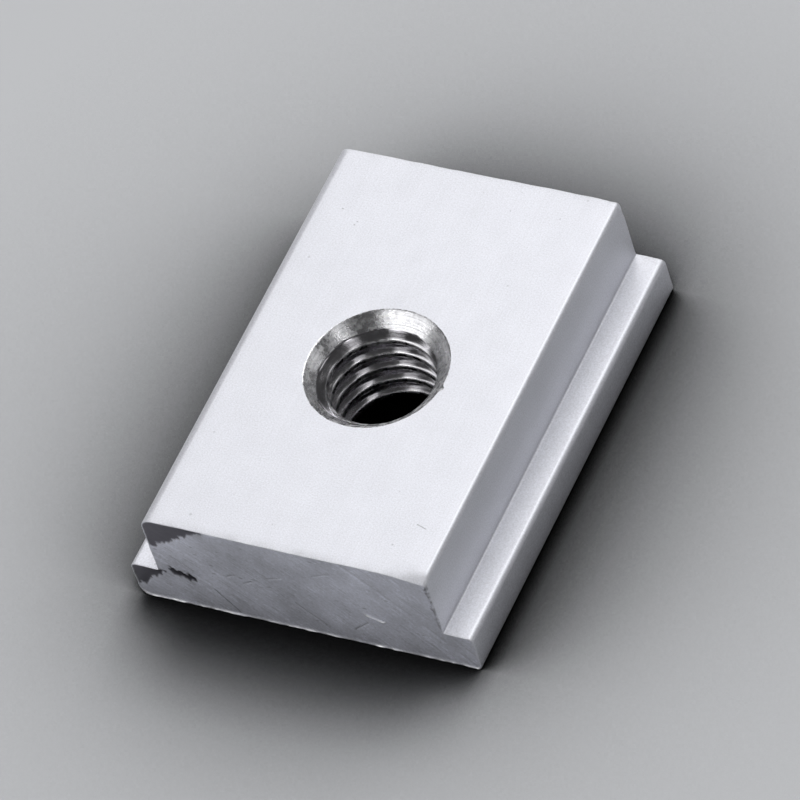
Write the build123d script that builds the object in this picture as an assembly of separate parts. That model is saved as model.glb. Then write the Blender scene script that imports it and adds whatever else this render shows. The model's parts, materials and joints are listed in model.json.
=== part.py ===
from build123d import *
import os
from math import radians, tan

# A nut for a T-slot track: one sawn length of extruded aluminium with a tapped hole through it.
# Millimetres. X runs across the slot, Y along it and Z up out of it.
# The origin is the middle of the flat underside.

# The extruded section
neck_width = 19.2
neck_height = 4.95
ledge_width = 1.95
flange_thickness = 2.95
left_shoulder_radius = 0.75
right_shoulder_radius = 0.3
flange_edge_radius = 0.33
left_foot_radius = 0.8
right_foot_radius = 0.35

# The sawn length
nut_length = 30.0

# The tapped hole, countersunk at both ends
thread_diameter = 8.0
thread_pitch = 1.25
countersink_margin = 0.55
countersink_angle = 90.0
hole_shift = 0.65

# How far a cutter runs past the face that it opens
overrun = 1.0

flange_width = neck_width + 2 * ledge_width
overall_height = flange_thickness + neck_height
tap_drill_radius = (thread_diameter - thread_pitch) / 2
countersink_radius = thread_diameter / 2 + countersink_margin


def section():
    """The T of the extrusion, drawn in the XZ plane with its foot on the X axis."""
    neck = neck_width / 2
    flange = flange_width / 2
    left_foot = (-flange, 0)
    right_foot = (flange, 0)
    flange_edges = [(flange, flange_thickness), (-flange, flange_thickness)]
    right_shoulder = (neck, overall_height)
    left_shoulder = (-neck, overall_height)
    outline = Polyline(
        left_foot,
        right_foot,
        flange_edges[0],
        (neck, flange_thickness),
        right_shoulder,
        left_shoulder,
        (-neck, flange_thickness),
        flange_edges[1],
        close=True,
    )
    face = make_face(outline)
    face = round_corners(face, [left_foot], left_foot_radius)
    face = round_corners(face, [right_foot], right_foot_radius)
    face = round_corners(face, flange_edges, flange_edge_radius)
    face = round_corners(face, [right_shoulder], right_shoulder_radius)
    return round_corners(face, [left_shoulder], left_shoulder_radius)


def round_corners(face, places, radius):
    """Round the corners of a flat face that stand at the given places."""
    corners = [face.vertices().sort_by_distance(Vector(*place))[0] for place in places]
    return fillet(corners, radius)


def extruded_bar():
    """The section, sawn to length, with half of it on each side of the XZ plane."""
    return extrude(Plane.XZ * section(), amount=nut_length / 2, both=True)


def hole_cutter():
    """What the tap drill and the two countersinks take away, turned about the hole's axis."""
    slope = tan(radians(countersink_angle / 2))
    depth = (countersink_radius - tap_drill_radius) / slope
    flare = countersink_radius + overrun * slope
    outline = Polyline(
        (0, -overrun),
        (flare, -overrun),
        (tap_drill_radius, depth),
        (tap_drill_radius, overall_height - depth),
        (flare, overall_height + overrun),
        (0, overall_height + overrun),
        close=True,
    )
    cutter = revolve(Plane.XZ * make_face(outline), axis=Axis.Z)
    return Pos(0, -hole_shift, 0) * cutter


def t_slot_nut():
    """The finished nut: one piece of metal."""
    return extruded_bar() - hole_cutter()


os.makedirs("parts", exist_ok=True)
export_step(t_slot_nut(), "parts/t_slot_nut.step")
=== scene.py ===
"""Dresses the nut for a T-slot track: a sawn length of worn extruded aluminium with a tapped hole."""
import json
import math

import bmesh
import bpy
from bpy.props import FloatProperty, FloatVectorProperty, PointerProperty
from mathutils import Matrix, Vector, kdtree, noise
from mathutils.geometry import delaunay_2d_cdt


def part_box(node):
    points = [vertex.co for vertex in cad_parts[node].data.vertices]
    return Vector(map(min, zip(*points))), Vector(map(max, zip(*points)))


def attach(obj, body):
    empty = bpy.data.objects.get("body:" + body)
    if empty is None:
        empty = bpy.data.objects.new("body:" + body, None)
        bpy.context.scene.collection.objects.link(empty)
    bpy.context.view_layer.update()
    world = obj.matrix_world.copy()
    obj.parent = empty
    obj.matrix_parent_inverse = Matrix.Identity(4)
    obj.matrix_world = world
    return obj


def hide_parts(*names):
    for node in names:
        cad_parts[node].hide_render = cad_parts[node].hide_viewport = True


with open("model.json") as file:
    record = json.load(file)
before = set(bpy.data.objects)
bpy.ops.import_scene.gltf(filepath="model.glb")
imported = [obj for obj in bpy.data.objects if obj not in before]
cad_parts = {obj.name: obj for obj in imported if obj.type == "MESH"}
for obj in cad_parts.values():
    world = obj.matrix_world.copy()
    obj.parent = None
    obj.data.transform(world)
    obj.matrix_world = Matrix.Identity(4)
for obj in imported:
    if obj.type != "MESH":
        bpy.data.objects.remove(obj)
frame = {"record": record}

bl_info = {
    "name": "T-slot nut",
    "version": (1, 0, 0),
    "blender": (4, 5, 0),
    "location": "3D View > Sidebar > T-slot nut",
    "description": "Builds the dressed T-slot nut and the studio that it stands in",
    "category": "Object",
}

MM = 0.001
NODE = "t_slot_nut"
BODY = "root"
LOWEST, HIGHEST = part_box(NODE)
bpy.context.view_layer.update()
TAPPED_HOLE = next(m for m in frame["record"]["mounts"] if m["kind"] == "threaded_hole")
HOLE_PLACE = tuple(TAPPED_HOLE["pos_m"])

NEAR_END = -1
FAR_END = 1
SKIN, SAWN, TURNED, THREAD = range(4)


# Sizes and finishes.


def number(name, default, description, **kind):
    return FloatProperty(name=name, description=description, default=default, **kind)


def length(name, millimetres, description):
    return number(name, millimetres * MM, description, unit="LENGTH", precision=5)


def angle(name, degrees, description):
    return number(name, math.radians(degrees), description, subtype="ANGLE")


def share(name, default, description):
    return number(name, default, description, min=0, max=1, subtype="FACTOR")


def colour(name, default, description):
    return FloatVectorProperty(
        name=name, description=description, default=default, size=3, min=0, max=1, subtype="COLOR"
    )


class SlotNutShape(bpy.types.PropertyGroup):
    """Sizes of the nut that its box doesn't give."""

    neck_width: length("Neck width", 19.2, "Width of the part that rises into the slot")
    flange_thickness: length("Flange thickness", 2.95, "Height of the ledges over the underside")
    left_shoulder_radius: length("Left shoulder radius", 0.75, "Rounding along the left top edge")
    right_shoulder_radius: length("Right shoulder radius", 0.3, "Rounding along the right top edge")
    flange_edge_radius: length("Flange edge radius", 0.33, "Rounding along the outer ledge edges")
    left_foot_radius: length("Left foot radius", 0.8, "Rounding under the left flange")
    right_foot_radius: length("Right foot radius", 0.35, "Rounding under the right flange")
    inner_corner_radius: length("Inner corner radius", 0.1, "Rounding where neck and ledge meet")
    thread_diameter: length("Thread diameter", 8.0, "Outer diameter of the metric thread")
    thread_pitch: length("Thread pitch", 1.25, "Distance from one crest to the next")
    crest_height: length("Crest height", 5.792, "Height of a thread crest on the +X side")
    countersink_margin: length("Countersink margin", 0.55, "Countersink outside the thread")
    edge_break: length("Edge break", 0.045, "Usual wear of the sawn edges")
    burr_height: length("Burr height", 0.09, "How far the burrs stand out of the sawn ends")
    saw_mark_depth: length("Saw mark depth", 0.009, "Depth of the saw's scores in the ends")
    detail: length("Detail", 0.13, "Distance between points along the section")


class SlotNutFinish(bpy.types.PropertyGroup):
    """Colours and gloss of the nut."""

    skin_colour: colour("Skin colour", (0.78, 0.787, 0.832), "Extruded aluminium")
    skin_roughness: share("Skin roughness", 0.62, "Satin of the extruded faces")
    sawn_colour: colour("Sawn colour", (0.685, 0.695, 0.755), "Sawn ends")
    sawn_roughness: share("Sawn roughness", 0.8, "Dullness of the sawn ends")
    turned_colour: colour("Turned colour", (0.88, 0.88, 0.91), "Countersinks")
    turned_roughness: share("Turned roughness", 0.26, "Gloss of the countersinks")
    thread_colour: colour("Thread colour", (0.52, 0.51, 0.54), "Cut thread")
    thread_roughness: share("Thread roughness", 0.14, "Gloss of the thread")


class StudioSettings(bpy.types.PropertyGroup):
    """Camera, lights and floor."""

    camera_azimuth: angle("Camera azimuth", 39.07, "Turn of the camera from the -Y side towards +X")
    camera_elevation: angle("Camera elevation", 48.96, "Height of the camera over the horizon")
    camera_roll: angle("Camera roll", -19.53, "Turn of the camera about its own view")
    camera_distance: length("Camera distance", 473.9, "From the camera to the point it looks at")
    lens: number("Lens", 350.0, "Focal length in millimetres")
    floor_colour: colour("Floor colour", (0.66, 0.67, 0.69), "Paper that the nut lies on")
    shadow_reach: length("Shadow reach", 28, "How far the nut's soft shadow reaches")
    shadow_depth: share("Shadow depth", 0.5, "Openness at which the soft shadow is darkest")
    backdrop_height: angle("Backdrop height", 14, "Where the pale backdrop ends over the horizon")
    backdrop_light: share("Backdrop light", 0.3, "Brightness of the pale backdrop")
    world_light: share("Surrounding light", 0.06, "Even light from all round")
    key_light: number("Main light", 4.6, "Radiance of the large soft light")
    side_light: number("Side lights", 0.8, "Radiance of the low soft lights")
    near_light: number("Near light", 1.35, "Radiance of the dim light in front")
    strip_light: number("Strip lights", 3.2, "Radiance of the narrow lights")


# Section.


def outward(direction):
    return Vector((direction.y, -direction.x))


def section_corners(shape):
    """The section's corners with their radii, counter-clockwise as seen from the near end."""
    neck = shape.neck_width / 2
    flange = HIGHEST.x
    ledge = LOWEST.z + shape.flange_thickness
    return [
        (Vector((neck, ledge)), shape.inner_corner_radius),
        (Vector((neck, HIGHEST.z)), shape.right_shoulder_radius),
        (Vector((-neck, HIGHEST.z)), shape.left_shoulder_radius),
        (Vector((-neck, ledge)), shape.inner_corner_radius),
        (Vector((-flange, ledge)), shape.flange_edge_radius),
        (Vector((-flange, LOWEST.z)), shape.left_foot_radius),
        (Vector((flange, LOWEST.z)), shape.right_foot_radius),
        (Vector((flange, ledge)), shape.flange_edge_radius),
    ]


def section_outline(shape):
    """Points (place, outward direction) round the section, evenly spaced on its flats and arcs."""
    corners = section_corners(shape)
    fewest_steps = 6
    points = []
    for index, (corner, radius) in enumerate(corners):
        before = corners[index - 1][0]
        after, next_radius = corners[(index + 1) % len(corners)]
        arriving = (corner - before).normalized()
        leaving = (after - corner).normalized()
        turn = math.copysign(1, arriving.cross(leaving))
        centre = corner - arriving * radius - outward(arriving) * radius * turn
        steps = max(fewest_steps, round(radius * math.pi / 2 / shape.detail))
        for step in range(steps + 1):
            normal = Matrix.Rotation(turn * math.pi / 2 * step / steps, 2) @ outward(arriving)
            points.append((centre + normal * radius * turn, normal))
        start = corner + leaving * radius
        end = after - leaving * next_radius
        steps = max(1, round((end - start).length / shape.detail))
        for step in range(1, steps):
            points.append((start.lerp(end, step / steps), outward(leaving)))
    return points


def inward_directions(outline):
    """Directions into the section that turn slowly past its corners, so that rows set in never cross."""
    reach = 0.8 * MM
    pull = 6
    count = len(outline)
    directions = []
    for index, (_, normal) in enumerate(outline):
        total = -normal
        for way in (1, -1):
            walked = 0.0
            step = 1
            while walked < reach:
                before = outline[(index + way * (step - 1)) % count][0]
                other, other_normal = outline[(index + way * step) % count]
                stride = (other - before).length
                walked += stride
                total -= other_normal * (stride / reach) * pull * max(0.0, 1 - walked / reach)
                step += 1
        directions.append(total.normalized())
    return directions


def flat_run(outline, level):
    """First and last index of the outline points on the flat at a level, the top or the underside."""
    run = [
        index for index, (place, normal) in enumerate(outline)
        if abs(place.y - level) < 1e-7 and abs(normal.y) > 0.9999
    ]
    return run[0], run[-1]


# Worn edges.


def ramp(value, start, end):
    """0 before start, 1 after end, and a smooth rise between."""
    part = min(1.0, max(0.0, (value - start) / (end - start)))
    return part * part * (3 - 2 * part)


def rough(place, end, size, seed=0.0):
    """Smooth noise between about -1 and 1, in grains of a size; each seed gives another pattern."""
    return noise.noise(Vector((place.x / size, place.y / size, seed + 17.3 * end)))


def worn_edge(shape, place, normal, end):
    """What the saw left at one place of an edge: width on the end, depth, burr and a painted shadow, the last
    two 0 to 1.

    There is more burr underneath, the right wall is ragged and carries a painted shadow along its edge, and
    the top's right corner is rolled.
    """
    half_neck = shape.neck_width / 2
    narrowest = 0.01 * MM
    width = shape.edge_break * (1 + 0.7 * rough(place, end, 0.9 * MM))
    depth = shape.edge_break * (0.9 + 0.6 * rough(place, end, 0.6 * MM, 5))
    burr = 0.25 + 0.3 * rough(place, end, 1.5 * MM, 9)

    underneath = ramp(-normal.y, 0.5, 0.9)
    burr += underneath * (0.45 + 0.5 * rough(place, end, 0.5 * MM, 3))
    width += underneath * shape.edge_break * (0.5 + 1.2 * abs(rough(place, end, 0.45 * MM, 21)))

    ragged_width = 0.35 * MM
    ragged_depth = 0.12 * MM
    far_share = 0.2
    on_wall = ramp(normal.x, 0.6, 0.95) * ramp(place.x, 0, half_neck) * ramp(place.y, 3.1 * MM, 3.6 * MM)
    on_wall *= 1 if end == NEAR_END else far_share
    ragged = abs(rough(place, end, 0.35 * MM, 31)) + 0.5 * abs(rough(place, end, 0.15 * MM, 37))
    width += on_wall * ragged_width * ragged
    depth += on_wall * ragged_depth * ragged
    # Painted shadow: a dark ragged line along the right wall's edge, stronger higher up the wall.
    painted_edge_shadow = on_wall * ramp(rough(place, end, 0.25 * MM, 43), -0.4, 0.15)
    painted_edge_shadow *= 0.35 + 0.5 * ramp(place.y, 4 * MM, 6 * MM)

    rolled_size = 0.08 * MM
    from_corner = abs(place.x - (half_neck - 0.35 * MM))
    rolled = (1 - ramp(from_corner, 0, 1.5 * MM)) * ramp(place.y, 6.4 * MM, 7.2 * MM)
    width += rolled * rolled_size
    depth += rolled * rolled_size

    burr *= 1 - 0.8 * max(on_wall, rolled)
    return max(width, narrowest), max(depth, narrowest), min(1.0, max(0.0, burr)), painted_edge_shadow


# Sawn ends and other marks.


SAW_CENTRE = Vector((-42 * MM, -44 * MM))
# Scratches on the near end: start, end, half width and depth in millimetres. A depth below 0 stands out.
SCRATCHES = (
    ((4.5, 3.1), (5.6, 2.7), 0.10, -0.08),
    ((-5.9, 2.1), (-4.7, 0.35), 0.07, 0.07),
    ((-0.3, 2.6), (1.3, 1.1), 0.07, 0.05),
    ((1.6, 5.9), (2.7, 6.4), 0.06, 0.03),
    ((-1.8, 4.5), (-0.8, 4.9), 0.06, 0.03),
    ((-4.7, 3.8), (-4.2, 4.1), 0.07, 0.04),
    ((-3.6, 3.5), (-3.1, 3.8), 0.07, 0.04),
    ((3.4, 1.3), (4.4, 2.2), 0.07, 0.03),
    ((7.6, 5.6), (9.0, 4.4), 0.06, 0.03),
    ((-8.3, 4.7), (-7.1, 3.7), 0.06, 0.03),
)
# Places on the near end where metal tore away instead of being sawn, to the left of a line between two
# points, in millimetres: one at the neck's corner and one at the flange's.
TEARS = (
    ((-9.6, 5.25), (-5.0, 8.1)),
    ((-11.6, 0.7), (-9.0, 2.95)),
)
TORN_STREAK = ((-8.6, 3.1), (-7.3, 2.75))
# Dark marks on the top: start, end and half width in millimetres.
TOP_MARKS = (
    ((7.35, -11.0), (8.0, -11.2), 0.05),
    ((-6.07, 9.37), (-6.0, 9.37), 0.06),
    ((-5.98, 9.65), (-5.92, 9.65), 0.05),
    ((-7.33, 10.4), (-7.25, 10.4), 0.06),
)


def stroke(start, stop):
    """The two ends of a mark, from millimetres to metres."""
    return Vector(start) * MM, Vector(stop) * MM


def places_along(start, stop, half_width, spacing):
    """Places along a mark, each with the step from its middle to its side."""
    start, stop = stroke(start, stop)
    aside = outward((stop - start).normalized()) * half_width * MM
    steps = max(1, round((stop - start).length / spacing))
    return [(start.lerp(stop, step / steps), aside) for step in range(steps + 1)]


def distance_to_mark(place, start, stop):
    start, stop = stroke(start, stop)
    along = stop - start
    part = min(1.0, max(0.0, (place - start).dot(along) / along.length_squared))
    return (place - start - along * part).length


def on_scratch(place):
    return any(distance_to_mark(place, start, stop) < 0.14 * MM for start, stop, _, _ in SCRATCHES)


def torn(shape, place, end):
    """How far a place on the near end is inside a tear, in metres; negative outside."""
    if end == FAR_END:
        return -1.0
    # The tears are ragged in long narrow teeth that point along this direction.
    teeth = Vector((place.x * 0.9 + place.y * 0.45, 0.25 * (place.y * 0.9 - place.x * 0.45)))
    ragged = 0.35 * rough(teeth, end, 0.3 * MM, 51) + 0.18 * rough(teeth, end, 0.13 * MM, 57)
    above_ledge = place.y > shape.flange_thickness
    deepest = -1.0
    for start, stop in (stroke(*line) for line in TEARS):
        if (start.y > shape.flange_thickness) == above_ledge:
            side = (stop - start).normalized().cross(place - start)
            deepest = max(deepest, side + ragged * MM)
    streak_width = 0.22 * MM
    streak = distance_to_mark(place, *TORN_STREAK)
    return max(deepest, streak_width - streak + 1.1 * ragged * MM)


def torn_mask(shape, place, end):
    """1 inside a tear and 0 outside, with a narrow soft edge."""
    return ramp(torn(shape, place, end), -0.03 * MM, 0.03 * MM)


def end_depth(shape, place, end):
    """How deep the sawn surface lies behind the end's plane at a place of the section."""
    reach = (place - SAW_CENTRE * -end).length
    drift = 0.5 * MM * rough(place, end, 6 * MM, 61)
    coarse = noise.noise(Vector(((reach + drift) / (0.55 * MM), 0.3, end)))
    fine = noise.noise(Vector(((reach + drift) / (0.2 * MM), 7.7, end)))
    fade = 0.35 + 0.65 * ramp(rough(place, end, 2.2 * MM, 67), -0.3, 0.4)
    depth = shape.burr_height + shape.saw_mark_depth * fade * (coarse + 0.5 * fine)
    grain_depth = 0.006 * MM
    depth += grain_depth * rough(place, end, 0.35 * MM, 71)
    if end == NEAR_END:
        # A tear starts with a step down and rises again away from its edge.
        inside = torn(shape, place, end)
        step_depth = 0.045 * MM
        rise = 0.03 * MM
        depth += step_depth * ramp(inside, -0.05 * MM, 0.1 * MM)
        depth -= rise * ramp(inside, 0.1 * MM, 2.2 * MM)
    return max(depth, 0.0)


def pressed_down(x, y, z):
    """How far the near right corner of the top is pressed down."""
    deepest = 0.34 * MM
    near = ramp(-y, 14.2 * MM, 15.1 * MM)
    return deepest * ramp(x, 6.2 * MM, 9.6 * MM) * near * ramp(z, 4 * MM, 7.9 * MM)


# The hole.


def eased_ramp(value, start, end, ease):
    """0 before start, 1 after end and straight between, with both corners rounded over ease."""

    def soft(excess):
        if excess <= -ease:
            return 0.0
        if excess >= ease:
            return excess
        return (excess + ease) ** 2 / (4 * ease)

    return (soft(value - start) - soft(value - end)) / (end - start)


class TappedHole:
    """Radii of the tapped and countersunk hole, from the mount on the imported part."""

    columns = 288

    def __init__(self, shape):
        self.axis = Vector(HOLE_PLACE).xy
        self.crest = TAPPED_HOLE["dims"]["r_mm"] * MM
        self.root = shape.thread_diameter / 2
        self.rim = self.root + shape.countersink_margin
        self.pitch = shape.thread_pitch
        self.crest_height = shape.crest_height
        self.ease = ease = 0.06 * MM
        flank = (self.root - self.crest) * math.tan(math.radians(30))
        self.half_crest = (self.pitch - 2 * flank - self.pitch / 8) / 2
        self.flank_end = self.half_crest + flank
        # Heights of the rows of points on one side of a crest: on it, round its corner, down the
        # flank, round the root's corner and almost half a pitch away.
        half = [0.04 * MM, 0.09 * MM, self.half_crest - ease, self.half_crest, self.half_crest + ease]
        half += [self.half_crest + ease + (flank - 2 * ease) * part for part in (0.2, 0.4, 0.6, 0.8)]
        half += [self.flank_end - ease, self.flank_end, self.pitch / 2 - 0.03 * MM]
        half.sort()
        self.offsets = [-offset for offset in reversed(half)] + half

    def direction(self, column):
        turn = 2 * math.pi * column / self.columns
        return Vector((math.cos(turn), math.sin(turn)))

    def thread_radius(self, from_crest):
        part = eased_ramp(abs(from_crest), self.half_crest, self.flank_end, self.ease)
        return self.crest + (self.root - self.crest) * part

    def countersink_radius(self, height):
        return self.rim - min(height - LOWEST.z, HIGHEST.z - height)

    def rim_break(self, column, side):
        """Wear of the upper (side 1) or lower (side -1) rim, with one nick on the right of the upper."""
        usual = 0.035 * MM
        nick = 0.17 * MM
        turn = 2 * math.pi * column / self.columns
        wave = noise.noise(Vector((3 * math.cos(turn), 3 * math.sin(turn), side)))
        fine = noise.noise(Vector((22 * math.cos(turn), 22 * math.sin(turn), side + 3)))
        size = usual * (1 + 0.5 * wave + 0.6 * fine)
        if side > 0:
            from_nick = math.remainder(turn - math.radians(-6), 2 * math.pi)
            size += nick * (1 - ramp(abs(from_nick), math.radians(0.5), math.radians(3.8)))
        return size

    def on_countersink(self, point):
        radius = (point.xy - self.axis).length
        return abs(radius - self.countersink_radius(point.z)) < 0.012 * MM


# The nut's mesh.


class NutMesh:
    """Collects the nut's surface as points, faces, face finishes and two masks: wear, which also paints
    glints, and tears, which also carry painted shade.
    """

    def __init__(self, shape):
        self.shape = shape
        self.points = []
        self.faces = []
        self.finishes = []
        self.wear_and_glint = []
        self.tear_and_shade = []

    def add(self, x, y, z, wear_and_glint=0.0, tear_and_shade=0.0):
        self.points.append((x, y, z - pressed_down(x, y, z)))
        self.wear_and_glint.append(wear_and_glint)
        self.tear_and_shade.append(tear_and_shade)
        return len(self.points) - 1

    def add_on_end(self, place, end, depth, wear_and_glint=0.0, tear_and_shade=0.0):
        """Adds a point at a place of the section, a depth behind the end's plane."""
        return self.add(place.x, end * (HIGHEST.y - depth), place.y, wear_and_glint, tear_and_shade)

    def add_in_hole(self, hole, column, radius, height, wear_and_glint=0.0):
        """Adds a point on one column of the hole."""
        across = hole.direction(column)
        return self.add(hole.axis.x + across.x * radius, hole.axis.y + across.y * radius, height, wear_and_glint)

    def add_face(self, corners, finish):
        self.faces.append(corners)
        self.finishes.append(finish)

    def bridge(self, first, second, finish, closed=True):
        """Quads between two rows of equal length."""
        count = len(first)
        for index in range(count if closed else count - 1):
            after = (index + 1) % count
            self.add_face((first[index], first[after], second[after], second[index]), finish)

    def fill(self, loops, extra, flatten, finish):
        """Triangles over a flat area between closed loops of points, through extra points inside it."""
        ids = [index for loop in loops for index in loop] + extra
        flat = [flatten(Vector(self.points[index])) for index in ids]
        edges = []
        offset = 0
        for loop in loops:
            edges += [(offset + k, offset + (k + 1) % len(loop)) for k in range(len(loop))]
            offset += len(loop)
        _, _, faces, origins, _, _ = delaunay_2d_cdt(flat, edges, [], 0, 1e-9, True)
        if any(not origin for origin in origins):
            raise RuntimeError("a flat area of the nut crosses its own edge")
        corners = [tuple(origins[k][0] for k in face) for face in faces]
        walls = {frozenset(edge) for edge in edges}
        sides = [{frozenset(pair) for pair in zip(c, c[1:] + c[:1])} - walls for c in corners]
        beside = {}
        for number, open_sides in enumerate(sides):
            for side in open_sides:
                beside.setdefault(side, []).append(number)
        # Spreads from one triangle at an inner point to all that no loop cuts off.
        waiting = [next(k for k, corner in enumerate(corners) if max(corner) >= offset)]
        inside = set(waiting)
        while waiting:
            for side in sides[waiting.pop()]:
                fresh = [k for k in beside[side] if k not in inside]
                inside.update(fresh)
                waiting += fresh
        for number in sorted(inside):
            self.add_face(tuple(ids[k] for k in corners[number]), finish)

    def end_rows(self, outline, end):
        """Rows of points round one sawn end, from the skin over the worn edge onto the sawn face."""
        lip = 0.10 * MM
        rows = [[] for _ in range(6)]
        for (place, normal), inward in zip(outline, inward_directions(outline)):
            width, depth, burr, painted_edge_shadow = worn_edge(self.shape, place, normal, end)
            foot = place + inward * (width + lip)
            foot_depth = end_depth(self.shape, foot, end)
            foot_torn = torn_mask(self.shape, foot, end)
            crest_depth = foot_depth * (1 - burr)
            # Each row's distance from the edge, its depth behind the end's plane, its wear, which also paints
            # a glint along the burred edge, and its tear, which also carries the painted shadow along the
            # right wall.
            profile = (
                (0.0, crest_depth + depth, 0.2, 0.0),
                (0.13 * width, crest_depth + 0.5 * depth, 0.5, painted_edge_shadow),
                (0.5 * width, crest_depth + 0.13 * depth, 0.8, painted_edge_shadow),
                (width, crest_depth, 1.0, painted_edge_shadow),
                (width + 0.5 * lip, crest_depth + 0.55 * (foot_depth - crest_depth), 0.8, foot_torn),
                (width + lip, foot_depth, 0.2, foot_torn),
            )
            for row, (inset, back, wear_and_glint, tear_and_shade) in zip(rows, profile):
                row.append(self.add_on_end(place + inward * inset, end, back, wear_and_glint * burr, tear_and_shade))
        return rows

    def scratches(self):
        """Points along the scratches of the near end, three across each."""
        points = []
        for start, stop, half_width, deepest in SCRATCHES:
            for middle, aside in places_along(start, stop, half_width, 0.1 * MM):
                for place, cut in ((middle - aside, 0), (middle, deepest * MM), (middle + aside, 0)):
                    depth = max(0.0, end_depth(self.shape, place, NEAR_END) + cut)
                    wear_and_glint = 1.0 if cut < 0 else 0.0
                    # A scratch cut in gets a painted shade in its groove, darker the deeper the cut; one that
                    # stands out is marked worn and bright.
                    dark = min(0.8, max(0.0, 12 * cut / MM))
                    points.append(self.add_on_end(place, NEAR_END, depth, wear_and_glint, dark))
        return points

    def end_points(self, outline, edge, end):
        """Points spread evenly over a sawn end, clear of its edge and its scratches."""
        tree = kdtree.KDTree(len(edge))
        for number, index in enumerate(edge):
            x, _, z = self.points[index]
            tree.insert((x, z, 0), number)
        tree.balance()
        step = self.shape.detail
        row_height = 0.866 * step
        columns = round(HIGHEST.x / step)
        points = []
        for row in range(1, round(HIGHEST.z / row_height)):
            for column in range(-columns, columns + 1):
                place = Vector(((column + 0.5 * (row % 2)) * step, LOWEST.z + row_height * row))
                nearest, number, away = tree.find(place.to_3d())
                within = (nearest.xy - place).dot(outline[number][1]) > 0
                if within and away > 0.75 * step and not (end == NEAR_END and on_scratch(place)):
                    depth = end_depth(self.shape, place, end)
                    tear_and_shade = torn_mask(self.shape, place, end)
                    points.append(self.add_on_end(place, end, depth, tear_and_shade=tear_and_shade))
        return points

    def sawn_end(self, outline, end):
        """One sawn end; returns the row where it meets the skin."""
        rows = self.end_rows(outline, end)
        for first, second, finish in zip(rows, rows[1:], (SKIN, SKIN, SAWN, SAWN, SAWN)):
            self.bridge(first, second, finish)
        inner = self.scratches() if end == NEAR_END else []
        inner += self.end_points(outline, rows[-1], end)
        self.fill([rows[-1]], inner, lambda point: point.xz, SAWN)
        return rows[0]

    def bar(self, outline):
        """The extruded skin between the ends; returns the loops round the flat top and underside."""
        near = self.sawn_end(outline, NEAR_END)
        far = self.sawn_end(outline, FAR_END)
        # Even stations, with closer ones where the near corner is pressed down.
        stations = [LOWEST.y + inset * MM for inset in (0.25, 0.5, 0.75)]
        stations += [HIGHEST.y * part / 15 for part in range(-14, 15)]
        between = [[self.add(place.x, y, place.y) for place, _ in outline] for y in stations]
        rows = [near, *between, far]
        flats = [flat_run(outline, level) for level in (HIGHEST.z, LOWEST.z)]
        loops = []
        for first, last in flats:
            loop = near[first:last + 1] + [row[last] for row in between]
            loop += reversed(far[first:last + 1])
            loop += [row[first] for row in reversed(between)]
            loops.append(loop)
        for index in range(len(outline)):
            if any(first <= index < last for first, last in flats):
                continue
            after = (index + 1) % len(outline)
            for row, above in zip(rows, rows[1:]):
                self.add_face((row[index], row[after], above[after], above[index]), SKIN)
        return loops

    def worn_rim(self, hole, columns, side):
        """The worn rim between a flat face and its countersink; returns the row on the flat face."""
        level = HIGHEST.z if side > 0 else LOWEST.z
        outer = []
        middle = []
        for column in range(hole.columns):
            size = hole.rim_break(column, side)
            outer.append(self.add_in_hole(hole, column, hole.rim + size, level))
            radius = hole.rim + 0.18 * size
            middle.append(self.add_in_hole(hole, column, radius, level - side * 0.3 * size, 1.0))
        inner = [rows[-1] if side > 0 else rows[0] for rows in columns[:-1]]
        self.bridge(outer, middle, TURNED)
        self.bridge(middle, inner, TURNED)
        return outer

    def hole_wall(self, hole):
        """The wall of the tapped hole; returns its upper and lower rim."""
        # One turn more than needed at each end, because the rows climb a pitch on their way round.
        first_turn = math.floor((LOWEST.z - hole.crest_height) / hole.pitch) - 1
        last_turn = math.ceil((HIGHEST.z - hole.crest_height) / hole.pitch) + 1
        columns = []
        # One column more than the circle has, so that the thread's rows close one pitch up.
        for column in range(hole.columns + 1):
            crest = hole.crest_height + hole.pitch * (column / hole.columns)
            top = HIGHEST.z - hole.rim_break(column % hole.columns, 1)
            bottom = LOWEST.z + hole.rim_break(column % hole.columns, -1)
            rows = []
            for turn in range(first_turn, last_turn + 1):
                for offset in hole.offsets:
                    height = crest + turn * hole.pitch + offset
                    held = min(top, max(bottom, height))
                    radius = hole.countersink_radius(held)
                    wear_and_glint = 0.0
                    if held == height:
                        radius = max(radius, hole.thread_radius(offset))
                        # The crests are marked worn, which paints them bright: part wear, part a painted
                        # highlight along each crest.
                        wear_and_glint = 1 - ramp(abs(offset), hole.half_crest, hole.half_crest + 1.5 * hole.ease)
                    rows.append(self.add_in_hole(hole, column, radius, held, wear_and_glint))
            columns.append(rows)
        for left, right in zip(columns, columns[1:]):
            self.bridge(left, right, THREAD, closed=False)
        return [self.worn_rim(hole, columns, side) for side in (1, -1)]

    def top_marks(self):
        """Points of the dark marks on the top, three across each."""
        level = HIGHEST.z
        points = []
        for start, stop, half_width in TOP_MARKS:
            places = places_along(start, stop, half_width, 0.08 * MM)
            for (end, aside), way in ((places[0], 1), (places[-1], -1)):
                points.append(self.add(*(end + outward(aside) * way), level))
            for middle, aside in places:
                points.append(self.add(*(middle - aside), level))
                points.append(self.add(*middle, level, tear_and_shade=1.0))
                points.append(self.add(*(middle + aside), level))
        return points

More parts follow.
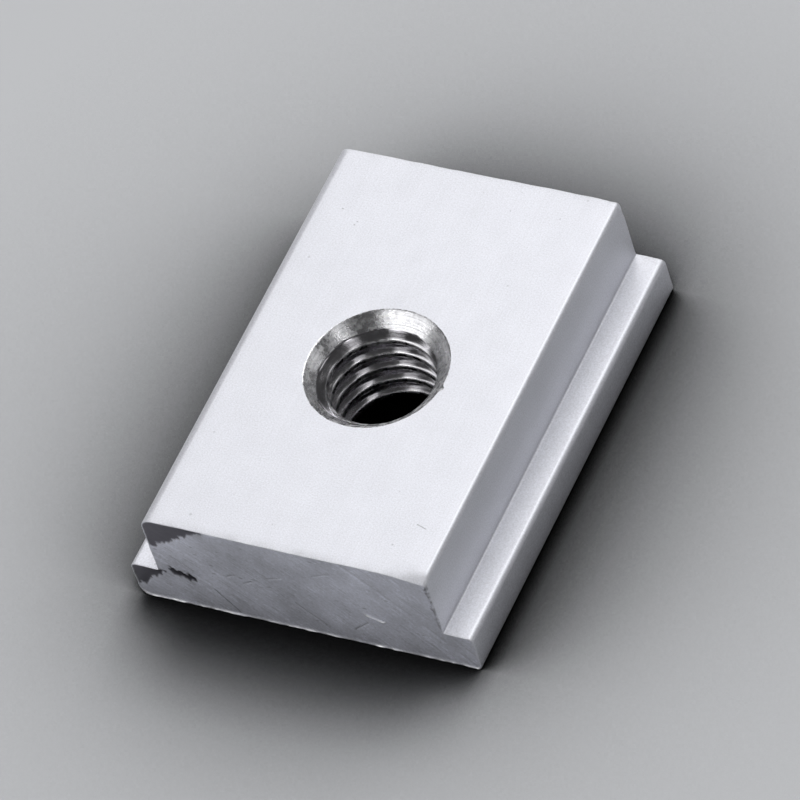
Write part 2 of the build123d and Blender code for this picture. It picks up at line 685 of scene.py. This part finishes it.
    def flat_face(self, loop, rim, hole, level):
        """The top or the underside, from its edge to the hole's rim."""
        spread = 0.75 * MM
        off_rim = 0.5 * MM
        half_width = self.shape.neck_width / 2 - self.shape.left_shoulder_radius - 0.2 * MM
        rows = round(HIGHEST.y / spread) - 1
        columns = round(half_width / spread)
        inner = []
        for row in range(-rows, rows + 1):
            for column in range(-columns, columns + 1):
                place = Vector((column * spread, row * spread))
                if abs(place.x) < half_width and (place - hole.axis).length > hole.rim + off_rim:
                    inner.append(self.add(place.x, place.y, level))
        if level == HIGHEST.z:
            inner += self.top_marks()
        self.fill([loop, rim], inner, lambda point: point.xy, SKIN)

    def build(self, name):
        """Welds the rows into one closed mesh and turns its faces outwards."""
        mesh = bpy.data.meshes.new(name)
        mesh.from_pydata(self.points, [], self.faces)
        mesh.polygons.foreach_set("material_index", self.finishes)
        for title, values in (("wear_and_glint", self.wear_and_glint), ("tear_and_shade", self.tear_and_shade)):
            mesh.attributes.new(title, "FLOAT", "POINT").data.foreach_set("value", values)
        work = bmesh.new()
        work.from_mesh(mesh)
        bmesh.ops.remove_doubles(work, verts=work.verts, dist=1e-7)
        bmesh.ops.dissolve_degenerate(work, edges=work.edges, dist=1e-7)
        loose = [vertex for vertex in work.verts if not vertex.link_faces]
        bmesh.ops.delete(work, geom=loose, context="VERTS")
        bmesh.ops.recalc_face_normals(work, faces=work.faces)
        open_edges = [edge for edge in work.edges if len(edge.link_faces) != 2]
        if open_edges:
            raise RuntimeError(f"the nut's surface is open at {len(open_edges)} edges")
        for edge in work.edges:
            first, second = (face.material_index for face in edge.link_faces)
            on_rim = {first, second} == {SKIN, TURNED}
            edge.smooth = edge.calc_face_angle() < math.radians(38) and not on_rim
        for face in work.faces:
            face.smooth = True
        work.to_mesh(mesh)
        work.free()
        return mesh


def nut_mesh(shape, name):
    """The whole nut as one closed mesh."""
    builder = NutMesh(shape)
    hole = TappedHole(shape)
    loops = builder.bar(section_outline(shape))
    rims = builder.hole_wall(hole)
    for loop, rim, level in zip(loops, rims, (HIGHEST.z, LOWEST.z)):
        builder.flat_face(loop, rim, hole, level)
    mesh = builder.build(name)
    for polygon in mesh.polygons:
        corners = [mesh.vertices[index].co for index in polygon.vertices]
        if polygon.material_index == THREAD and all(hole.on_countersink(corner) for corner in corners):
            polygon.material_index = TURNED
    return mesh


# Shared effects.


class ShaderTree:
    """Adds nodes to the tree of a material, a world or a shared effect."""

    def __init__(self, tree):
        self.tree = tree

    def fill(self, slot, value):
        """Links an input to another node's output, or sets it to a number, a direction or a colour."""
        if isinstance(value, bpy.types.NodeSocket):
            self.tree.links.new(value, slot)
        elif slot.type == "RGBA":
            slot.default_value = (*value, 1.0)
        else:
            slot.default_value = value

    def node(self, kind, **settings):
        """A new node; a setting named after an input, with _ for a space, fills that input."""
        node = self.tree.nodes.new("ShaderNode" + kind)
        for name, value in settings.items():
            if hasattr(node, name):
                setattr(node, name, value)
            else:
                self.fill(node.inputs[name.replace("_", " ")], value)
        return node

    def operate(self, kind, operation, *values):
        node = self.node(kind, operation=operation)
        for slot, value in zip(node.inputs, values):
            self.fill(slot, value)
        return node.outputs

    def math(self, operation, first, second):
        return self.operate("Math", operation, first, second)[0]

    def times(self, first, second):
        return self.math("MULTIPLY", first, second)

    def vector(self, operation, first, second):
        return self.operate("VectorMath", operation, first, second)[0]

    def range(self, value, low, high, new_low, new_high):
        """Maps a value from one range to another; the ends may be numbers or other nodes' outputs."""
        return self.node(
            "MapRange", Value=value, From_Min=low, From_Max=high, To_Min=new_low, To_Max=new_high
        ).outputs[0]

    def noise(self, place, scale, detail, roughness, dimensions="3D"):
        node = self.node("TexNoise", noise_dimensions=dimensions, Vector=place, Scale=scale)
        node.inputs["Detail"].default_value = detail
        node.inputs["Roughness"].default_value = roughness
        return node.outputs["Fac"]

    def place(self):
        """The place on the nut."""
        return self.node("TexCoord").outputs["Object"]

    def mask(self, name):
        """One of the mesh's masks: wear with painted glints, and tears with painted shade."""
        return self.node("Attribute", attribute_name=name).outputs["Fac"]


class SharedEffect(ShaderTree):
    """A shader node group with named inputs and outputs."""

    def __init__(self, name, inputs, outputs):
        super().__init__(bpy.data.node_groups.new(name, "ShaderNodeTree"))
        for title, default in inputs.items():
            kind = "NodeSocketVector" if isinstance(default, tuple) else "NodeSocketFloat"
            socket = self.tree.interface.new_socket(title, in_out="INPUT", socket_type=kind)
            socket.default_value = default
        for title in outputs:
            self.tree.interface.new_socket(title, in_out="OUTPUT", socket_type="NodeSocketFloat")
        self.given = self.tree.nodes.new("NodeGroupInput").outputs
        self.result = self.tree.nodes.new("NodeGroupOutput").inputs

    def scale(self, title):
        """The texture scale that gives the size of an input."""
        return self.math("DIVIDE", 1.0, self.given[title])

    def finish(self, **results):
        for title, value in results.items():
            self.fill(self.result[title], value)
        return self.tree


def grain_effect():
    """Fine speckle of worn metal: a shade round 1 and a height."""
    effect = SharedEffect(
        "Metal grain",
        {"Grain Size": 0.1 * MM, "Contrast": 0.05, "Clouds": 0.6, "Stretch": (1, 1, 1)},
        ("Shade", "Height"),
    )
    place = effect.vector("MULTIPLY", effect.place(), effect.given["Stretch"])
    scale = effect.scale("Grain Size")
    fine = effect.noise(place, scale, 4.0, 0.65)
    coarse = effect.noise(place, effect.times(scale, 0.06), 3.0, 0.5)
    cloudy = effect.times(effect.math("SUBTRACT", coarse, 0.5), effect.given["Clouds"])
    mixed = effect.math("ADD", effect.math("SUBTRACT", fine, 0.5), cloudy)
    shade = effect.times(mixed, effect.given["Contrast"])
    return effect.finish(Shade=effect.math("ADD", effect.times(shade, 2.0), 1.0), Height=fine)


def tool_mark_effect():
    """Scores that a saw or a cutter leaves in circles about a centre line."""
    effect = SharedEffect(
        "Tool marks",
        {"Centre": (0, 0, 0), "Across": (1, 1, 0), "Spacing": 0.1 * MM, "Patch Size": 1.0 * MM},
        ("Marks", "Patches"),
    )
    place = effect.place()
    offset = effect.vector("SUBTRACT", place, effect.given["Centre"])
    across = effect.vector("MULTIPLY", offset, effect.given["Across"])
    reach = effect.operate("VectorMath", "LENGTH", across)["Value"]
    patches = effect.noise(place, effect.scale("Patch Size"), 3.0, 0.6)
    ring = effect.math("DIVIDE", reach, effect.given["Spacing"])
    break_up = effect.times(patches, 2.5)
    ring_place = effect.node("CombineXYZ", X=ring, Y=break_up).outputs[0]
    return effect.finish(Marks=effect.noise(ring_place, 1.0, 3.0, 0.7, "2D"), Patches=patches)


def wear_and_glint_effect():
    """Bare bright metal along worn edges and crests, broken up by noise: part wear, part a painted glint."""
    effect = SharedEffect("Edge wear and glint", {"Size": 0.3 * MM, "Amount": 1.0}, ("Worn_And_Glint",))
    patchy = effect.range(effect.noise(effect.place(), effect.scale("Size"), 3.0, 0.5), 0.35, 0.6, 0.3, 1.0)
    worn_and_glint = effect.times(effect.mask("wear_and_glint"), patchy)
    amount = effect.times(worn_and_glint, effect.given["Amount"])
    return effect.finish(Worn_And_Glint=effect.math("MINIMUM", amount, 1.0))


def pit_effect():
    """Small pits of many sizes, scattered one to a spacing, most of them too small to see."""
    effect = SharedEffect("Pits", {"Spacing": 1.2 * MM, "Size": 0.15, "Stretch": (1, 1, 1)}, ("Pits",))
    place = effect.vector("MULTIPLY", effect.place(), effect.given["Stretch"])
    cells = effect.node("TexVoronoi", Vector=place, Scale=effect.scale("Spacing")).outputs
    chance = effect.math("POWER", effect.node("SeparateColor", Color=cells["Color"]).outputs[0], 4.0)
    radius = effect.times(chance, effect.given["Size"])
    inner = effect.times(radius, 0.4)
    return effect.finish(Pits=effect.range(cells["Distance"], inner, radius, 1.0, 0.0))


# Materials.


# Colours mixed over the metal. The bright one marks wear and is partly a painted glint on burrs and thread
# crests; the dark one darkens pits and top marks and paints the shadow along the right wall's edge; the pit
# one darkens pits on the sawn ends; the torn one darkens the tears as a painted dark reflection over real
# torn metal, and paints shade into scratches and along the right wall's edge.
BRIGHT_METAL_AND_GLINT = (0.90, 0.90, 0.91)
DARK_MARK_AND_SHADOW = (0.2, 0.2, 0.22)
DARK_IN_PITS = (0.2, 0.2, 0.23)
TORN_METAL_AND_SHADE = (0.17, 0.165, 0.19)


class Metal(ShaderTree):
    """A metal that mixes the shared effects into its own shader."""

    def __init__(self, name, effects):
        self.material = bpy.data.materials.new(name)
        self.material.use_nodes = True
        super().__init__(self.material.node_tree)
        self.effects = effects
        self.shader = self.tree.nodes["Principled BSDF"].inputs
        self.shader["Metallic"].default_value = 1.0

    def effect(self, name, **values):
        return self.node("Group", node_tree=self.effects[name], **values).outputs

    def mix(self, factor, first, second, blend="MIX"):
        """Mixes two colours."""
        node = self.node("Mix", data_type="RGBA", blend_type=blend)
        for number, value in ((0, factor), (6, first), (7, second)):
            self.fill(node.inputs[number], value)
        return node.outputs[2]

    def rings(self, spacing, patch_size):
        """Marks that a cutter leaves round the hole."""
        return self.effect(
            "marks", Centre=HOLE_PLACE, Across=(1, 1, 0), Spacing=spacing, Patch_Size=patch_size
        )

    def shaded(self, base, shade):
        """A colour times a shade that varies round 1."""
        grey = self.node("CombineColor", Red=shade, Green=shade, Blue=shade).outputs[0]
        return self.mix(1.0, base, grey, "MULTIPLY")

    def bump(self, strength, distance, *heights):
        """Roughens the surface by the sum of some heights, each given with its share."""
        total = None
        for value, part in heights:
            part_height = self.times(value, part)
            total = part_height if total is None else self.math("ADD", total, part_height)
        node = self.node("Bump", Strength=strength, Distance=distance, Height=total)
        self.fill(self.shader["Normal"], node.outputs[0])

    def finish(self, base, roughness):
        self.fill(self.shader["Base Color"], base)
        self.fill(self.shader["Roughness"], roughness)
        return self.material


def skin_material(finish, effects):
    metal = Metal("Extruded aluminium", effects)
    speckle = metal.effect("grain", Grain_Size=0.10 * MM, Contrast=0.34, Clouds=0.12)
    die_lines = metal.effect("grain", Grain_Size=0.12 * MM, Contrast=0.05, Clouds=0.3, Stretch=(1, 0.012, 1))
    pits = metal.effect("pits", Spacing=1.1 * MM, Size=0.13)["Pits"]
    worn_and_glint = metal.effect("wear_and_glint", Size=0.3 * MM, Amount=0.8)["Worn_And_Glint"]
    base = metal.shaded(finish.skin_colour, metal.times(speckle["Shade"], die_lines["Shade"]))
    base = metal.mix(metal.times(pits, 0.3), base, DARK_MARK_AND_SHADOW)
    # Darkens the top's marks and paints the shadow along the right wall's edge.
    base = metal.mix(metal.times(metal.mask("tear_and_shade"), 0.7), base, DARK_MARK_AND_SHADOW)
    # Brightens worn edges: part wear, part a painted glint along the burred edge.
    base = metal.mix(worn_and_glint, base, BRIGHT_METAL_AND_GLINT)
    low = finish.skin_roughness - 0.05
    roughness = metal.range(speckle["Height"], 0.3, 0.7, low, low + 0.1)
    height = metal.math("SUBTRACT", speckle["Height"], pits)
    metal.bump(0.5, 0.006 * MM, (height, 1.0), (die_lines["Height"], 0.6))
    return metal.finish(base, roughness)


def sawn_material(finish, effects):
    metal = Metal("Sawn aluminium", effects)
    saw_centre = (SAW_CENTRE.x, 0, SAW_CENTRE.y)
    scores = metal.effect(
        "marks", Centre=saw_centre, Across=(1, 0, 1), Spacing=0.22 * MM, Patch_Size=0.7 * MM
    )
    grain = metal.effect("grain", Grain_Size=0.16 * MM, Contrast=0.26, Clouds=1.1)
    pits = metal.effect("pits", Spacing=0.55 * MM, Size=0.3, Stretch=(0.6, 1, 1.5))["Pits"]
    worn_and_glint = metal.effect("wear_and_glint", Size=0.35 * MM, Amount=1.0)["Worn_And_Glint"]
    tear_and_shade = metal.mask("tear_and_shade")
    scored = metal.range(scores["Patches"], 0.42, 0.62, 0.15, 1.0)
    marks = metal.times(metal.math("SUBTRACT", scores["Marks"], 0.5), scored)
    score_shade = metal.range(marks, -0.2, 0.2, 0.84, 1.16)
    base = metal.shaded(finish.sawn_colour, metal.times(grain["Shade"], score_shade))
    base = metal.mix(metal.times(pits, 0.4), base, DARK_IN_PITS)
    # Darkens the tears, a painted dark reflection over real torn metal, and paints shade into the scratches
    # and along the right wall's edge.
    base = metal.mix(tear_and_shade, base, TORN_METAL_AND_SHADE)
    # Brightens worn edges and the raised scratch: part wear, part a painted glint along the burred edge.
    base = metal.mix(worn_and_glint, base, BRIGHT_METAL_AND_GLINT)
    low = finish.sawn_roughness - 0.06
    sawn_rough = metal.range(grain["Height"], 0.3, 0.7, low, low + 0.12)
    torn_rough = metal.range(tear_and_shade, 0.0, 1.0, sawn_rough, 0.3)
    roughness = metal.range(worn_and_glint, 0.0, 1.0, torn_rough, 0.35)
    score_height = metal.times(marks, metal.math("SUBTRACT", 1.0, tear_and_shade))
    metal.bump(0.7, 0.016 * MM, (score_height, 1.4), (grain["Height"], 0.7), (pits, -0.6))
    return metal.finish(base, roughness)


def turned_material(finish, effects):
    metal = Metal("Turned countersink", effects)
    rings = metal.rings(0.07 * MM, 0.5 * MM)
    grain = metal.effect("grain", Grain_Size=0.2 * MM, Contrast=0.42, Clouds=0.9)
    ring_shade = metal.range(rings["Marks"], 0.3, 0.7, 0.6, 1.25)
    base = metal.shaded(finish.turned_colour, metal.times(grain["Shade"], ring_shade))
    low = finish.turned_roughness - 0.08
    roughness = metal.range(rings["Patches"], 0.35, 0.65, low, low + 0.2)
    metal.bump(0.8, 0.014 * MM, (rings["Marks"], 1.0), (grain["Height"], 1.0))
    # Reflections spread across the circles that the cutter left about the hole's axis.
    offset = metal.vector("SUBTRACT", metal.place(), HOLE_PLACE)
    metal.fill(metal.shader["Tangent"], metal.vector("MULTIPLY", offset, (1, 1, 0)))
    metal.shader["Anisotropic"].default_value = 0.7
    return metal.finish(base, roughness)


def thread_material(finish, effects):
    metal = Metal("Cut thread", effects)
    rings = metal.rings(0.12 * MM, 0.7 * MM)
    grain = metal.effect("grain", Grain_Size=0.12 * MM, Contrast=0.2)
    worn_and_glint = metal.effect("wear_and_glint", Size=0.5 * MM, Amount=1.0)["Worn_And_Glint"]
    # Brightens the crests: part wear, part a painted highlight along each crest.
    base = metal.mix(worn_and_glint, metal.shaded(finish.thread_colour, grain["Shade"]), BRIGHT_METAL_AND_GLINT)
    low = finish.thread_roughness - 0.06
    dull = metal.range(rings["Patches"], 0.35, 0.65, low, low + 0.12)
    roughness = metal.range(worn_and_glint, 0.0, 1.0, dull, 0.35)
    metal.bump(0.5, 0.005 * MM, (rings["Marks"], 1.0), (grain["Height"], 0.6))
    return metal.finish(base, roughness)


# Studio.


def direction_from(azimuth, elevation):
    """Direction towards a viewer: azimuth from the -Y side towards +X, elevation over the horizon."""
    flat = math.cos(elevation)
    return Vector((math.sin(azimuth) * flat, -math.cos(azimuth) * flat, math.sin(elevation)))


def set_up(name, data, place, right, back):
    """Puts a lamp or a camera at a place, with its right side and its back turned along two directions."""
    thing = bpy.data.objects.new(name, data)
    axes = Matrix((right, back.cross(right), back)).transposed()
    thing.matrix_world = Matrix.Translation(place) @ axes.to_4x4()
    bpy.context.scene.collection.objects.link(thing)
    return thing


def panel_light(name, first, last, distance, width, radiance):
    """A flat soft light that reaches from one direction to another, given as (azimuth, elevation) degrees."""
    start = direction_from(*map(math.radians, first)) * distance
    end = direction_from(*map(math.radians, last)) * distance
    middle = (start + end) / 2
    back = middle.normalized()
    lamp = bpy.data.lights.new(name, "AREA")
    lamp.shape = "RECTANGLE"
    lamp.size = width
    lamp.size_y = (end - start).length
    lamp.energy = radiance * math.pi * lamp.size * lamp.size_y
    set_up(name, lamp, middle, (end - start).cross(back).normalized(), back)


def studio_camera(studio):
    back = direction_from(studio.camera_azimuth, studio.camera_elevation)
    level = Vector((0, 0, 1)).cross(back).normalized()
    right = Matrix.Rotation(studio.camera_roll, 3, back) @ level
    aim = Vector((-0.85, 1.48, 1.90)) * MM
    camera = bpy.data.cameras.new("Camera")
    camera.lens = studio.lens
    camera.sensor_width = 36
    camera.clip_start = 0.01
    camera.clip_end = 20
    place = aim + back * studio.camera_distance
    bpy.context.scene.camera = set_up("Camera", camera, place, right, back)


def floor_material(studio):
    """Pale matt paper with a soft shadow where the nut shelters it."""
    material = bpy.data.materials.new("Studio floor")
    material.use_nodes = True
    paper = ShaderTree(material.node_tree)
    shader = paper.tree.nodes["Principled BSDF"].inputs
    shader["Roughness"].default_value = 0.9
    shader["Specular IOR Level"].default_value = 0.1
    shelter = paper.node("AmbientOcclusion", samples=12, Distance=studio.shadow_reach).outputs["AO"]
    open_part = paper.math("POWER", paper.range(shelter, studio.shadow_depth, 1.0, 0.0, 1.0), 2.4)
    red, green, blue = (paper.times(open_part, part) for part in studio.floor_colour)
    paper.fill(shader["Base Color"], paper.node("CombineColor", Red=red, Green=green, Blue=blue).outputs[0])
    return material


def studio_world(studio):
    """Dim surroundings over a low pale backdrop that runs all round the horizon."""
    world = bpy.data.worlds.new("Studio")
    world.use_nodes = True
    sky = ShaderTree(world.node_tree)
    direction = sky.node("TexCoord").outputs["Generated"]
    height = sky.node("SeparateXYZ", Vector=direction).outputs["Z"]
    top = math.sin(studio.backdrop_height)
    strength = sky.range(height, 0.5 * top, top, studio.backdrop_light, studio.world_light)
    background = sky.tree.nodes["Background"].inputs
    sky.fill(background["Strength"], strength)
    sky.fill(background["Color"], (1, 1, 1))
    return world


# Operators.


class SLOTNUT_OT_nut(bpy.types.Operator):
    """Build the nut: worn bar, sawn ends, countersinks and thread"""

    bl_idname = "slotnut.nut"
    bl_label = "Nut"

    def execute(self, context):
        mesh = nut_mesh(context.scene.slot_nut_shape, "Nut")
        effects = {
            "grain": grain_effect(),
            "marks": tool_mark_effect(),
            "wear_and_glint": wear_and_glint_effect(),
            "pits": pit_effect(),
        }
        for make in (skin_material, sawn_material, turned_material, thread_material):
            mesh.materials.append(make(context.scene.slot_nut_finish, effects))
        nut = bpy.data.objects.new("Nut", mesh)
        context.scene.collection.objects.link(nut)
        even = nut.modifiers.new("Even shading", "WEIGHTED_NORMAL")
        even.mode = "FACE_AREA_WITH_ANGLE"
        even.keep_sharp = True
        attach(nut, BODY)
        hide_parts(NODE)
        return {"FINISHED"}


class SLOTNUT_OT_studio(bpy.types.Operator):
    """Set up the floor, lights, surroundings and camera"""

    bl_idname = "slotnut.studio"
    bl_label = "Studio"

    def execute(self, context):
        scene = context.scene
        studio = scene.slot_nut_studio
        mesh = bpy.data.meshes.new("Floor")
        half = 2.0
        level = LOWEST.z - 0.02 * MM
        corners = [(-half, -half, level), (half, -half, level), (half, half, level), (-half, half, level)]
        mesh.from_pydata(corners, [], [(0, 1, 2, 3)])
        mesh.materials.append(floor_material(studio))
        floor = bpy.data.objects.new("Floor", mesh)
        scene.collection.objects.link(floor)
        panel_light("Main light", (184, 44), (184, 78), 1.2, 0.8, studio.key_light)
        panel_light("Left side light", (222, 3), (222, 27), 1.2, 0.9, studio.side_light)
        panel_light("Right side light", (128, 22), (128, 40), 1.2, 0.4, studio.side_light)
        panel_light("Near light", (-40, 8), (-40, 48), 1.0, 0.9, studio.near_light)
        panel_light("Near strip", (-1.5, 36), (-12, 48), 0.8, 0.14, studio.strip_light)
        panel_light("High near strip", (-10, 50), (-26, 63), 0.8, 0.2, 0.3 * studio.strip_light)
        panel_light("Right strip", (72, 32), (76, 44), 0.8, 0.11, studio.strip_light)
        panel_light("High right strip", (76, 45), (90, 68), 0.8, 0.16, 0.3 * studio.strip_light)
        scene.world = studio_world(studio)
        scene.view_settings.view_transform = "Standard"
        studio_camera(studio)
        return {"FINISHED"}


class SLOTNUT_PT_sidebar(bpy.types.Panel):
    """Lists the nut's pieces and their settings"""

    bl_idname = "SLOTNUT_PT_sidebar"
    bl_label = "T-slot nut"
    bl_space_type = "VIEW_3D"
    bl_region_type = "UI"
    bl_category = "T-slot nut"

    def draw(self, context):
        scene = context.scene
        for title, settings, operator in (
            ("Shape", scene.slot_nut_shape, None),
            ("Finish", scene.slot_nut_finish, SLOTNUT_OT_nut),
            ("Studio", scene.slot_nut_studio, SLOTNUT_OT_studio),
        ):
            box = self.layout.box()
            box.label(text=title)
            for name in settings.__annotations__:
                box.prop(settings, name)
            if operator:
                box.operator(operator.bl_idname)


SETTINGS = {
    "slot_nut_shape": SlotNutShape,
    "slot_nut_finish": SlotNutFinish,
    "slot_nut_studio": StudioSettings,
}
CLASSES = (*SETTINGS.values(), SLOTNUT_OT_nut, SLOTNUT_OT_studio, SLOTNUT_PT_sidebar)


def register():
    for part in CLASSES:
        bpy.utils.register_class(part)
    for name, group in SETTINGS.items():
        setattr(bpy.types.Scene, name, PointerProperty(type=group))


def unregister():
    for name in SETTINGS:
        delattr(bpy.types.Scene, name)
    for part in reversed(CLASSES):
        bpy.utils.unregister_class(part)


def main():
    register()
    bpy.ops.slotnut.nut()
    bpy.ops.slotnut.studio()


if __name__ == "__main__":
    main()
